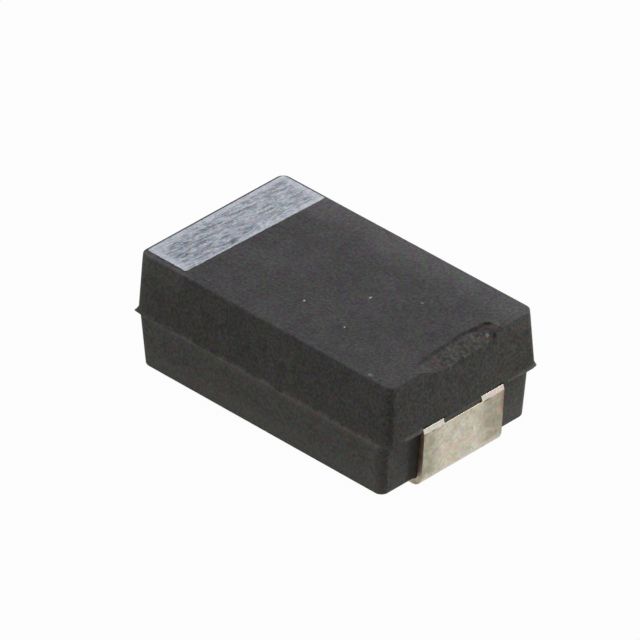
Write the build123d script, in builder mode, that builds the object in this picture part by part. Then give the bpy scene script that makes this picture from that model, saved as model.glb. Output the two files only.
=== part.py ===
from build123d import *
import math
import os

# Moulded tantalum chip capacitor, case size 7343. Millimetres: X runs along the length with the
# cathode end at +X and the anode end at -X, Z points up, and the feet stand on Z = 0.
# A sintered pellet with its coats is carried by two lead-frame terminals, and the epoxy case is
# moulded round all of them.

# Case, outside: two mould halves that meet at the top of the lead frame. The lower one is a
# little smaller and sits slightly off centre.
upper_length = 7.34
upper_width = 4.42
case_top = 2.87
parting_height = 1.45
foot_clearance = 0.08
lower_end_set_back = 0.095
lower_side_set_back = 0.035
mould_mismatch = 0.07
upper_end_draft = 1.9
upper_side_draft = 4.1
lower_end_draft = 4.4
lower_side_draft = 2.3
upper_corner_radius = 0.19
lower_corner_radius = 0.19
top_edge_radius = 0.04
bottom_edge_radius = 0.05

# Flash ridge round the parting line, left sharp at the corner where the mould vents
rim_proud = 0.03
rim_thickness = 0.08
vent_corner_radius = 0.03
vent_flash_height = 0.22
vent_flash_angle = 22

# Glue pad in the middle of the underside, between the feet
pad_length = 3.50
pad_width = 3.50
pad_drop = 0.10
pad_corner_radius = 0.15

# Rough mark where the gate broke off, on the top edge over the cathode terminal
scar_width = 2.15
scar_reach = 0.43
scar_wall = 0.07
scar_drop = 0.20
scar_shift = 0.04

# Polarity band over the anode end, let into the top face
band_length = 1.23
band_width = 3.98
band_shift = 0.05
band_edge_margin = 0.07
band_thickness = 0.02
band_corner_radius = 0.10

# Lead frame: both terminals are folded from the same strip
lead_thickness = 0.13
lead_width = 2.35
exit_bend_radius = 0.03
foot_bend_radius = 0.15
foot_length = 1.30
riser_clearance = 0.005
riser_lean = 3.8
slot_width = 1.06
slot_reach = 0.20
slot_bend_angle = 59
step_run = 0.51
step_bend_radius = 0.10
step_gap = 0.12
paddle_length = 3.20
paddle_corner_radius = 0.25
anode_bar_length = 0.60
anode_tab_width = 1.30
anode_tab_corner_radius = 0.12

# Capacitor element: the epoxy walls round it set the size of the pellet
anode_end_wall = 1.62
cathode_end_wall = 0.92
side_wall = 0.27
top_wall = 0.33
floor_wall = 0.23
pellet_chamfer = 0.10
wire_diameter = 0.30
wire_embedment = 3.00
wire_reach = 1.00
weld_length = 0.45
weld_flat = 0.025
washer_diameter = 0.90
washer_thickness = 0.15

# Coats on the pellet from the inside out, and how far the outer two stop short of the wire end
dioxide_thickness = 0.05
graphite_thickness = 0.03
silver_thickness = 0.05
graphite_margin = 0.30
silver_margin = 0.45
adhesive_thickness = 0.04
adhesive_margin = 0.15


def run(rise, angle):
    """How far a face with this draft leans over a rise."""
    return rise * math.tan(math.radians(angle))


# Sizes that follow from those above
parting_plane = Plane.XY.offset(parting_height)
underside = lead_thickness + foot_clearance
upper_rise = case_top - parting_height
lower_drop = parting_height - underside
lower_length = upper_length - 2 * lower_end_set_back
lower_width = upper_width - 2 * lower_side_set_back
underside_width = lower_width - 2 * run(lower_drop, lower_side_draft)
top_length = upper_length - 2 * run(upper_rise, upper_end_draft)

exit_height = parting_height - lead_thickness / 2
exit_bend = exit_bend_radius + lead_thickness / 2
foot_bend = foot_bend_radius + lead_thickness / 2
paddle_top = underside + floor_wall + lead_thickness
coats_thickness = dioxide_thickness + graphite_thickness + silver_thickness
silver_bottom = paddle_top + adhesive_thickness
silver_height = case_top - top_wall - silver_bottom
silver_width = underside_width - 2 * (mould_mismatch + side_wall)
silver_back = upper_length / 2 - cathode_end_wall
pellet_front = -upper_length / 2 + anode_end_wall
pellet_back = silver_back - coats_thickness
pellet_width = silver_width - 2 * coats_thickness
pellet_height = silver_height - 2 * coats_thickness
pellet_axis_height = silver_bottom + silver_height / 2
wire_axis_height = parting_height + wire_diameter / 2 - weld_flat
wire_tip = pellet_front - wire_reach


def riser_centre(height):
    """Centre line of a riser at a height: it leaves the end face at the exit and leans in less."""
    end_face = lower_length / 2 - run(lead_thickness, lower_end_draft)
    lean = run(parting_height - lead_thickness - height, riser_lean)
    return end_face + riser_clearance + lead_thickness / 2 - lean


foot_tip = riser_centre(lead_thickness / 2) + lead_thickness / 2 - foot_length


def folded_strip(side, inner_run):
    """Foot, riser, exit ears and inner run of a terminal; side is +1 or -1 along X."""
    exit_corner = riser_centre(exit_height)
    corners = [
        (foot_tip, lead_thickness / 2),
        (riser_centre(lead_thickness / 2), lead_thickness / 2),
        (exit_corner, exit_height),
        *inner_run,
    ]
    bends = [foot_bend, exit_bend] + [step_bend_radius + lead_thickness / 2] * (len(inner_run) - 1)

    # The slot between the ears is punched flat, so its outer end is square to the bent sheet
    fold_angle = 90 + riser_lean
    fold_x = exit_corner - exit_bend * math.tan(math.radians(fold_angle / 2))
    fold_height = exit_height - exit_bend
    slot_inner_end = upper_length / 2 - slot_reach
    beyond = fold_x + 4 * lead_thickness
    slot_outline = [
        (slot_inner_end, fold_height),
        (fold_x, fold_height),
        (beyond, fold_height + (beyond - fold_x) / math.tan(math.radians(slot_bend_angle))),
        (beyond, case_top),
        (slot_inner_end, case_top),
    ]

    with BuildPart() as strip:
        with BuildSketch(Plane.XZ):
            with BuildLine():
                FilletPolyline(*[(side * x, z) for x, z in corners], radius=bends)
            trace(line_width=lead_thickness)
        extrude(amount=lead_width / 2, both=True)
        with BuildSketch(Plane.XZ):
            with BuildLine():
                Polyline(*[(side * x, z) for x, z in slot_outline], close=True)
            make_face()
        extrude(amount=slot_width / 2, both=True, mode=Mode.SUBTRACT)
    return strip.part


def element_block(front, back, growth):
    """The pellet's size grown by the coats so far, from front to back along X, with square edges."""
    with BuildPart() as block:
        with BuildSketch(Plane.YZ.offset(front)):
            with Locations((0, pellet_axis_height)):
                Rectangle(pellet_width + 2 * growth, pellet_height + 2 * growth)
        extrude(amount=back - front)
    return block.part


def pressed_pellet():
    """The pellet as the press leaves it, with a small chamfer on every edge."""
    with BuildPart() as pellet:
        add(element_block(pellet_front, pellet_back, 0))
        chamfer(pellet.edges(), pellet_chamfer)
    return pellet.part


def dipped_coat(front, back, growth, over_wire_end):
    """Outside of a coat, rounded by the dipping; a cup keeps the square lip of its open end."""
    with BuildPart() as coat:
        add(element_block(front, back, growth))
        lip = coat.faces().sort_by(Axis.X)[0].edges()
        fillet(coat.edges() if over_wire_end else coat.edges() - lip, pellet_chamfer + growth)
    return coat.part


def mould_half(length, width, rise, end_draft, side_draft, corner_radius, edge_radius, shift):
    """One half of the case, drawn at the parting plane and drafted away from it."""
    away = math.copysign(1, rise)
    with BuildPart() as half:
        with BuildSketch(parting_plane):
            with Locations((0, shift)):
                Rectangle(length, width)
        extrude(amount=rise)
        draft(half.faces().filter_by(Axis.X), parting_plane, away * end_draft)
        draft(half.faces().filter_by(Axis.Y), parting_plane, away * side_draft)
        fillet(half.edges().group_by(Axis.Z)[1], corner_radius)
        fillet(half.faces().sort_by(Axis.Z, reverse=rise > 0)[0].edges(), edge_radius)
    return half.part


# Anode wire, with a flat where it is welded onto the anode tab
with BuildPart() as tantalum_wire:
    with BuildSketch(Plane.YZ.offset(wire_tip)):
        with Locations((0, wire_axis_height)):
            Circle(wire_diameter / 2)
    extrude(amount=wire_reach + wire_embedment)
    with BuildSketch(parting_plane):
        with Locations((wire_tip + weld_length / 2, 0)):
            Rectangle(weld_length, wire_diameter)
    extrude(amount=-wire_diameter, mode=Mode.SUBTRACT)
tantalum_wire.part.label = "tantalum_wire"

# Sintered pellet, pressed round the wire
with BuildPart() as tantalum_pellet:
    add(pressed_pellet())
    add(tantalum_wire.part, mode=Mode.SUBTRACT)
tantalum_pellet.part.label = "tantalum_pellet"

# Washer on the wire, tight against the pellet
with BuildPart() as insulating_washer:
    with BuildSketch(Plane.YZ.offset(pellet_front - washer_thickness)):
        with Locations((0, wire_axis_height)):
            Circle(washer_diameter / 2)
            Circle(wire_diameter / 2, mode=Mode.SUBTRACT)
    extrude(amount=washer_thickness)
insulating_washer.part.label = "insulating_washer"

# Manganese dioxide covers the whole pellet up to the washer
dioxide_envelope = dipped_coat(
    pellet_front - dioxide_thickness, pellet_back + dioxide_thickness, dioxide_thickness, True
)
with BuildPart() as manganese_dioxide_layer:
    add(dioxide_envelope)
    add(pressed_pellet(), mode=Mode.SUBTRACT)
    with BuildSketch(Plane.YZ.offset(pellet_front)):
        with Locations((0, wire_axis_height)):
            Circle(washer_diameter / 2)
    extrude(amount=-dioxide_thickness, mode=Mode.SUBTRACT)
manganese_dioxide_layer.part.label = "manganese_dioxide_layer"

# Graphite and silver are dipped from the far end, so each is a cup that stops short of the wire end
graphite_growth = dioxide_thickness + graphite_thickness
graphite_envelope = dipped_coat(
    pellet_front + graphite_margin, pellet_back + graphite_growth, graphite_growth, False
)
with BuildPart() as graphite_layer:
    add(graphite_envelope)
    add(dioxide_envelope, mode=Mode.SUBTRACT)
graphite_layer.part.label = "graphite_layer"

silver_envelope = dipped_coat(pellet_front + silver_margin, silver_back, coats_thickness, False)
with BuildPart() as silver_coat:
    add(silver_envelope)
    add([dioxide_envelope, graphite_envelope], mode=Mode.SUBTRACT)
silver_coat.part.label = "silver_coat"

# Cathode terminal: it steps down from the exit to a paddle under the element
step_foot = silver_back + step_gap
paddle_height = paddle_top - lead_thickness / 2
paddle_tip = step_foot - paddle_length
cathode_run = [(step_foot + step_run, exit_height), (step_foot, paddle_height), (paddle_tip, paddle_height)]
with BuildPart() as cathode_terminal:
    add(folded_strip(1, cathode_run))
    paddle_corners = cathode_terminal.edges().filter_by(Axis.Z).sort_by(Axis.X)[:2]
    fillet(paddle_corners, paddle_corner_radius)
cathode_terminal.part.label = "cathode_terminal"

# Anode terminal: its tab runs in under the end of the wire, narrower than the bar at the exit
tab_tip = wire_tip + weld_length
bar_end = anode_bar_length - upper_length / 2
with BuildPart() as anode_terminal:
    add(folded_strip(-1, [(-tab_tip, exit_height)]))
    with BuildSketch(parting_plane):
        with Locations(((bar_end + tab_tip) / 2, 0)):
            Rectangle(tab_tip - bar_end, lead_width)
            Rectangle(tab_tip - bar_end, anode_tab_width, mode=Mode.SUBTRACT)
    extrude(amount=-lead_thickness, mode=Mode.SUBTRACT)
    tab_corners = anode_terminal.edges().filter_by(Axis.Z).group_by(Axis.Z)[-1].sort_by(Axis.X)[-2:]
    fillet(tab_corners, anode_tab_corner_radius)
anode_terminal.part.label = "anode_terminal"

# Conductive adhesive between the paddle and the silver coat
adhesive_front = max(paddle_tip, pellet_front + silver_margin) + adhesive_margin
adhesive_back = silver_back - pellet_chamfer - coats_thickness
with BuildPart() as silver_adhesive:
    with BuildSketch(Plane.XY.offset(paddle_top)):
        with Locations(((adhesive_front + adhesive_back) / 2, 0)):
            RectangleRounded(adhesive_back - adhesive_front, lead_width - 2 * adhesive_margin, adhesive_margin)
    extrude(amount=adhesive_thickness)
silver_adhesive.part.label = "silver_adhesive"

# Polarity band
band_centre = -top_length / 2 + band_edge_margin + band_length / 2
with BuildPart() as polarity_band:
    with BuildSketch(Plane.XY.offset(case_top - band_thickness)):
        with Locations((band_centre, band_shift)):
            RectangleRounded(band_length, band_width, band_corner_radius)
    extrude(amount=band_thickness)
polarity_band.part.label = "polarity_band"

# What the broken gate took with it: a wavy step into the top face that falls away to the end face
scar_edge = top_length / 2 - scar_reach
scar_floor = case_top - scar_wall
with BuildPart() as gate_scar:
    with BuildSketch(Plane.XY.offset(case_top)):
        with BuildLine():
            inner_edge = Spline(
                (upper_length / 2, scar_shift - 0.60 * scar_width),
                (scar_edge + 0.45 * scar_reach, scar_shift - 0.48 * scar_width),
                (scar_edge + 0.15 * scar_reach, scar_shift - 0.25 * scar_width),
                (scar_edge + 0.12 * scar_reach, scar_shift),
                (scar_edge, scar_shift + 0.20 * scar_width),
                (scar_edge + 0.15 * scar_reach, scar_shift + 0.42 * scar_width),
                (upper_length / 2, scar_shift + 0.52 * scar_width),
            )
            Line(inner_edge @ 1, inner_edge @ 0)
        make_face()
    extrude(amount=-scar_wall - scar_drop)
    with BuildSketch(Plane.XZ):
        with BuildLine():
            Polyline(
                (scar_edge - scar_reach, case_top),
                (scar_edge - scar_reach, scar_floor),
                (scar_edge, scar_floor),
                (upper_length / 2, scar_floor - scar_drop),
                (upper_length / 2, case_top),
                close=True,
            )
        make_face()
    extrude(amount=scar_width, both=True, mode=Mode.INTERSECT)

# Lump of flash at the vented corner, thickest at the parting line
vent_x = -upper_length / 2 - rim_proud
vent_y = -upper_width / 2 - rim_proud
vent_leg = upper_corner_radius + 2 * rim_proud
with BuildPart() as vent_flash:
    with BuildSketch(parting_plane):
        with BuildLine():
            Polyline((vent_x, vent_y), (vent_x + vent_leg, vent_y), (vent_x, vent_y + vent_leg), close=True)
        make_face()
    extrude(amount=vent_flash_height / 2, both=True, taper=vent_flash_angle)

# Moulded case
ear_width = (lead_width - slot_width) / 2
with BuildPart() as moulded_case:
    add(mould_half(upper_length, upper_width, upper_rise, upper_end_draft, upper_side_draft,
                   upper_corner_radius, top_edge_radius, 0))
    add(mould_half(lower_length, lower_width, -lower_drop, lower_end_draft, lower_side_draft,
                   lower_corner_radius, bottom_edge_radius, -mould_mismatch))

    # The ridge is shut off where the ears of the lead frame leave the case
    with BuildSketch(parting_plane):
        Rectangle(upper_length + 2 * rim_proud, upper_width + 2 * rim_proud)
        corners = vertices().sort_by(lambda corner: corner.X + corner.Y)
        fillet(corners[0], vent_corner_radius)
        fillet(vertices().sort_by(lambda corner: corner.X + corner.Y)[2:], upper_corner_radius + rim_proud)
        with GridLocations(upper_length + rim_proud, slot_width + ear_width, 2, 2):
            Rectangle(rim_proud, ear_width, mode=Mode.SUBTRACT)
    extrude(amount=rim_thickness / 2, both=True)
    add(vent_flash.part)

    with BuildSketch(Plane.XY.offset(underside)):
        with Locations((0, -mould_mismatch)):
            RectangleRounded(pad_length, pad_width, pad_corner_radius)
    extrude(amount=-pad_drop)

    add([gate_scar.part, polarity_band.part], mode=Mode.SUBTRACT)

    # The epoxy flows round everything that the case holds
    add([dioxide_envelope, graphite_envelope, silver_envelope], mode=Mode.SUBTRACT)
    add([tantalum_wire.part, insulating_washer.part, silver_adhesive.part], mode=Mode.SUBTRACT)
    add([cathode_terminal.part, anode_terminal.part], mode=Mode.SUBTRACT)
moulded_case.part.label = "moulded_case"

os.makedirs("parts", exist_ok=True)
export_step(moulded_case.part, "parts/moulded_case.step")
export_step(polarity_band.part, "parts/polarity_band.step")
export_step(cathode_terminal.part, "parts/cathode_terminal.step")
export_step(anode_terminal.part, "parts/anode_terminal.step")
export_step(tantalum_wire.part, "parts/tantalum_wire.step")
export_step(tantalum_pellet.part, "parts/tantalum_pellet.step")
export_step(insulating_washer.part, "parts/insulating_washer.step")
export_step(manganese_dioxide_layer.part, "parts/manganese_dioxide_layer.step")
export_step(graphite_layer.part, "parts/graphite_layer.step")
export_step(silver_coat.part, "parts/silver_coat.step")
export_step(silver_adhesive.part, "parts/silver_adhesive.step")
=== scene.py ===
import math

import bpy
import numpy as np
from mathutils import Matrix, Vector, noise


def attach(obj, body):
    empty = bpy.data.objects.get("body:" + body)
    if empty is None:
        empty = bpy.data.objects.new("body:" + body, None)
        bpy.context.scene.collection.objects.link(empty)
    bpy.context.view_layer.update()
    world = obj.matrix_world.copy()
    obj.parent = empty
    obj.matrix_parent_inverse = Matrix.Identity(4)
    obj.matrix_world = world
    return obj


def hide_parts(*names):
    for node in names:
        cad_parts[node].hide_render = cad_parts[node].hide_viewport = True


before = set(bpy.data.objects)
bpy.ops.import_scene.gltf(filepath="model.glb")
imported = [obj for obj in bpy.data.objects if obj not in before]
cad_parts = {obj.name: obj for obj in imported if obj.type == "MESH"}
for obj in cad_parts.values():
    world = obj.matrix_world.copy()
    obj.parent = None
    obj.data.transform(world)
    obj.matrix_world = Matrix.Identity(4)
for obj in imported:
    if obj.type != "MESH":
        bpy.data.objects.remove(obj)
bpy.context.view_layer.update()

MM = 0.001

# The case in millimetres and degrees, as the solids have it but for a tighter bottom edge
TOP = 2.87
PARTING = 1.45
UNDERSIDE = 0.21
UPPER = (7.34, 4.42)
LOWER = (7.15, 4.35)
MISMATCH = 0.07
CORNER = 0.19
UPPER_DRAFT = (1.9, 4.1)
LOWER_DRAFT = (4.4, 2.3)
TOP_EDGE = 0.04
BOTTOM_EDGE = 0.035

# Rings to a rounded edge, and half the height of the step where the two halves meet
EDGE_STEPS = 4
LEDGE = 0.02

# Past this x, to either side, a place round the case is on an end face
END_FACE = UPPER[0] / 2 - 0.02

# Glue pad: size, height, corners, the fillet round its root and the edge round its face
PAD = (3.50, 3.50)
PAD_DROP = 0.10
PAD_CORNER = 0.15
PAD_FILLET = 0.012
PAD_EDGE = 0.02

# Unevenness of the moulding: of the top face, and of the walls between the rim above and the skirt below
LID_WAVE = 0.002
WALL_SWAY = 0.0025
RIM_HEIGHT = 0.09
SKIRT_DROP = 0.10
WALL_RINGS = 9

# Lead frame: the folded strip, its centre line, its cut edges and how finely it is drawn
SHEET = 0.13
LEAD_WIDTH = 2.35
EXIT_HEIGHT = PARTING - SHEET / 2
EXIT_BEND = 0.03 + SHEET / 2
FOOT_BEND = 0.15 + SHEET / 2
STEP_BEND = 0.10 + SHEET / 2
RISER_TOP = (3.6393, EXIT_HEIGHT)
RISER_FOOT = (3.5516, SHEET / 2)
FOOT_TIP = (2.3166, SHEET / 2)
RISER_SLOPE = (RISER_TOP[0] - RISER_FOOT[0]) / (RISER_TOP[1] - RISER_FOOT[1])
CUT_EDGE = 0.012
LONGEST_FACE = 0.15
FOLD_STEP = 5

# The strip is the riser past this x, and the run into the case above this height
RISER_FROM = 3.5
EXIT_LEVEL = 1.2

# The point where the anode's tab begins still has the strip's full width, give or take this
NEARLY = 1e-6

# Slot between the ears: its width, what it has more on the near side, its x in the case and its foot's height
SLOT_WIDTH = 1.06
SLOT_BURR = 0.05
SLOT_INNER_END = UPPER[0] / 2 - 0.20
SLOT_OUTER_END = 1.292

# Film of epoxy in the slot: outer face from the bottom up, back, gap beside the ears and paleness
FILM_FACE = [(3.662, 1.312), (3.668, 1.38), (3.672, PARTING + LEDGE / 2)]
FILM_BACK = 3.570
FILM_GAP = 0.003
FILM_PALE = 1.3

# Outer face of the ears, by share of the exit turn counted from the case: flat as it leaves the case, a
# tight turn, then a facet down to the fold in the riser
EAR_TURN = [0.0, 0.35, 0.45, 0.53, 1.0]
EAR_X = [3.541, 3.640, 3.660, 3.669, 3.7005]
EAR_Z = [1.450, 1.466, 1.468, 1.459, 1.348]

# Where the rim of the upper half stands clear of the ears, by distance from the middle
EAVES_Y = [0.50, 0.54, 0.90, 1.17, 1.20]
EAVES_RISE = [0.0, 0.046, 0.056, 0.076, 0.0]

# Skirt of flash under the rim of the cathode end: how much there is from the near side to the far side, then
# how far it stands out at two depths under the parting line
SKIRT_Y = [-1.80, -1.60, -1.20, -1.17, 1.17, 1.20, 1.50, 1.90]
SKIRT_SHARE = [0.0, 0.9, 1.0, 0.0, 0.0, 0.3, 0.6, 0.5]
SKIRT_PROUD = [(LEDGE, 0.085), (0.07, 0.070)]

# How far flash stands out along the parting line of the cathode end; the ears shut it off
FLASH_Y = [-2.10, -1.84, -1.76, -1.60, -1.40, -1.25, -1.19, 1.19, 1.24, 1.35, 1.60]
FLASH_SIZE = [0.010, 0.012, 0.024, 0.032, 0.034, 0.034, 0.0, 0.0, 0.020, 0.026, 0.034]

# How far it stands out elsewhere: anode end, where its ears don't shut it off, near side, far side, what the
# far corner of the cathode end has more, and the vent corner with the turn, in radians, where it dies away
ANODE_FLASH = 0.028
ANODE_EARS = (0.50, 1.20)
NEAR_FLASH = 0.020
FAR_FLASH = 0.030
CORNER_FLASH = 0.028
VENT_FLASH = 0.126
VENT_TURN = 0.62

# The line that the ridge of flash is swept along is this much smaller than the rim
RIDGE_SINK = 0.008

# The broken gate: its two ends, and its inner edge on the top face from the near side to the far side
GATE_NEAR = -1.13
GATE_FAR = 1.16
GATE_EDGE_Y = [GATE_NEAR, -1.08, -1.038, -0.90, -0.716, -0.445, -0.185, 0.06, 0.278, 0.497, 0.746,
               1.008, 1.10, 1.135, GATE_FAR]
GATE_EDGE_X = [3.66, 3.47, 3.358, 3.315, 3.271, 3.235, 3.239, 3.228, 3.188, 3.202, 3.246,
               3.249, 3.33, 3.47, 3.66]

# How deep the gate broke: at its edge, more for each millimetre towards the end face, and at least
GATE_STEP = 0.062
GATE_FALL = 0.50
GATE_LEAST = 0.02

# Widths over which the break begins at its edge and grows shallow at its near and far ends
GATE_BRINK = 0.02
GATE_NEAR_END = 0.40
GATE_FAR_END = 0.32

# Raggedness in layers of height, pitch and seed: the gate's edge, its surface and the band's outline
GATE_RAG = [(0.012, 0.12, 4)]
GATE_ROUGH = [(0.030, 0.30, 6), (0.014, 0.11, 7), (0.003, 0.05, 8)]
BAND_RAG = [(0.010, 0.09, 21), (0.007, 0.03, 22)]

# Marks that the broken gate's skin carries: width over which it turns torn, and place and width of its lip,
# where shade is painted along the step
TORN_FADE = 0.03
LIP_PLACE = 0.010
LIP_WIDTH = 0.042

# Polarity band, with the skew and the set-back of its inner edge
BAND_LENGTH = 1.23
BAND_WIDTH = 3.98
BAND_CENTRE = (-2.938, 0.05)
BAND_CORNER = 0.05
BAND_DEPTH = 0.02
BAND_PROUD = 0.002
BAND_SKEW = 0.025
BAND_TRIM = 0.051
BAND_PIECE = 0.02


def lean(rise, angle):
    """How far a drafted face leans over a rise."""
    return rise * math.tan(math.radians(angle))


def drift(point, pitch, seed):
    """Smooth random value between about -1 and 1 that changes over a distance of pitch millimetres."""
    return noise.noise(Vector(point) / pitch + Vector((seed * 7.31, seed * 3.17, seed * 5.53)))


def ragged(x, y, layers):
    """Sum of smooth random heights, one for each layer's height, pitch and seed."""
    return sum(height * drift((x, y, 0), pitch, seed) for height, pitch, seed in layers)


# Meshes

def new_object(name, data):
    """An object in the scene that shows a mesh, a lamp or a camera."""
    made = bpy.data.objects.new(name, data)
    bpy.context.scene.collection.objects.link(made)
    return made


def put_on_part(name, mesh, stands_for):
    """A piece that rides on the part's one body and stands for one of its solids."""
    piece = new_object(name, mesh)
    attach(piece, "root")
    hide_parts(stands_for)
    return piece


def make_piece(name, points, faces, finishes, stands_for, face_finish=None, sharp=32):
    """A piece from points in millimetres, smooth except across edges sharper than an angle."""
    mesh = bpy.data.meshes.new(name)
    mesh.from_pydata([(x * MM, y * MM, z * MM) for x, y, z in points], [], faces)
    for finish in finishes:
        mesh.materials.append(finish)
    if face_finish is not None:
        mesh.polygons.foreach_set("material_index", face_finish)
    mesh.update()
    piece = put_on_part(name, mesh, stands_for)
    bpy.context.view_layer.objects.active = piece
    piece.select_set(True)
    bpy.ops.object.mode_set(mode="EDIT")
    bpy.ops.mesh.select_all(action="SELECT")
    bpy.ops.mesh.normals_make_consistent(inside=False)
    bpy.ops.object.mode_set(mode="OBJECT")
    piece.select_set(False)
    mesh.polygons.foreach_set("use_smooth", [True] * len(mesh.polygons))
    mesh.set_sharp_from_angle(angle=math.radians(sharp))
    return piece


def flatten_faces(piece):
    """Keeps the flat faces flat beside their small rounded edges."""
    soften = piece.modifiers.new("weighted normals", "WEIGHTED_NORMAL")
    soften.keep_sharp = True
    return piece


def mark_points(piece, name, values):
    """Writes a value at each point of a piece, for a node tree to read."""
    piece.data.attributes.new(name, "FLOAT", "POINT").data.foreach_set("value", values)


class Blank:
    """Grid lines of a rounded rectangle: a core, and a margin as wide as the corner radius all round."""

    def __init__(self, core_x, core_y, margin):
        steps = np.linspace(1, 0, margin, endpoint=False)
        self.x = np.concatenate([np.full(margin, core_x[0]), core_x, np.full(margin, core_x[-1])])
        self.y = np.concatenate([np.full(margin, core_y[0]), core_y, np.full(margin, core_y[-1])])
        self.u = np.concatenate([-steps, np.zeros(len(core_x)), steps[::-1]])
        self.v = np.concatenate([-steps, np.zeros(len(core_y)), steps[::-1]])
        self.shape = (len(self.x), len(self.y))

    def place(self, i, j, size, corner, shift=0.0):
        """Where grid crossing i, j lies on a rounded rectangle of this size."""
        u, v = self.u[i], self.v[j]
        reach = np.maximum(np.abs(u), np.abs(v))
        low = np.minimum(np.abs(u), np.abs(v))
        angle = np.where(reach > 0, low / np.where(reach > 0, reach, 1) * math.pi / 4, 0)
        along, across = np.cos(angle) * reach, np.sin(angle) * reach
        wide = np.abs(u) >= np.abs(v)
        du = np.sign(u) * np.where(wide, along, across)
        dv = np.sign(v) * np.where(wide, across, along)
        x = self.x[i] * (size[0] / 2 - corner) + du * corner
        y = self.y[j] * (size[1] / 2 - corner) + dv * corner + shift
        return x, y

    def rim(self):
        """Grid crossings round the outside, in order, and the outward direction at each."""
        nx, ny = self.shape[0] - 1, self.shape[1] - 1
        ring = [(i, 0) for i in range(nx)] + [(nx, j) for j in range(ny)]
        ring += [(i, ny) for i in range(nx, 0, -1)] + [(0, j) for j in range(ny, 0, -1)]
        i, j = np.array(ring).T
        out = np.array(self.place(i, j, (2.0, 2.0), 1.0)).T
        straight_x, straight_y = self.u[i] == 0, self.v[j] == 0
        out[straight_x, 0] = 0
        out[straight_y, 1] = 0
        return i, j, out / np.linalg.norm(out, axis=1)[:, None]


def gate_edge(y):
    """Where the broken gate's inner edge lies at a distance across the top face, before it is made ragged."""
    return np.interp(y, GATE_EDGE_Y, GATE_EDGE_X)


def inside_gate(x, y):
    """How far inside the broken gate's edge a place on the top face is."""
    edge = gate_edge(y) + ragged(x, y, GATE_RAG)
    return min(x - edge, y - GATE_NEAR, GATE_FAR - y)


def gate_depth(x, y):
    """How deep the broken gate left the surface under the top face."""
    inside = inside_gate(x, y)
    if inside <= 0:
        return 0.0
    steepness = 0.90 + 0.25 * drift((x, y, 0), 0.6, 5)
    fall = GATE_STEP + GATE_FALL * max(0.0, x - gate_edge(y)) * steepness
    ends = min(1.0, (y - GATE_NEAR) / GATE_NEAR_END, (GATE_FAR - y) / GATE_FAR_END)
    depth = (fall + ragged(x, y, GATE_ROUGH)) * (0.15 + 0.85 * ends)
    return min(1.0, inside / GATE_BRINK) * max(GATE_LEAST, depth)


def flash_reach(x, y):
    """How far flash stands out at a place on the parting line."""
    side_x, side_y = UPPER[0] / 2, UPPER[1] / 2
    if x > END_FACE:
        return float(np.interp(y, FLASH_Y, FLASH_SIZE))
    if x < -END_FACE:
        return 0.0 if ANODE_EARS[0] < abs(y) < ANODE_EARS[1] else ANODE_FLASH
    if x < -side_x + CORNER and y < -side_y + CORNER:
        turn = abs(math.atan2(-y - side_y + CORNER, -x - side_x + CORNER) - math.pi / 4)
        return VENT_FLASH * max(0.10, 1 - turn / VENT_TURN)
    if x > side_x - CORNER and y > side_y - CORNER:
        turn = math.atan2(y - side_y + CORNER, x - side_x + CORNER)
        return FAR_FLASH + CORNER_FLASH * (1 - abs(turn / math.pi * 4 - 1))
    return NEAR_FLASH if y < 0 else FAR_FLASH


def edge_turns():
    """Angles at which a rounded edge has its rings, as sine, cosine and number."""
    for step in range(1, EDGE_STEPS + 1):
        turn = step / EDGE_STEPS * math.pi / 2
        yield math.sin(turn), math.cos(turn), step


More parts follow.
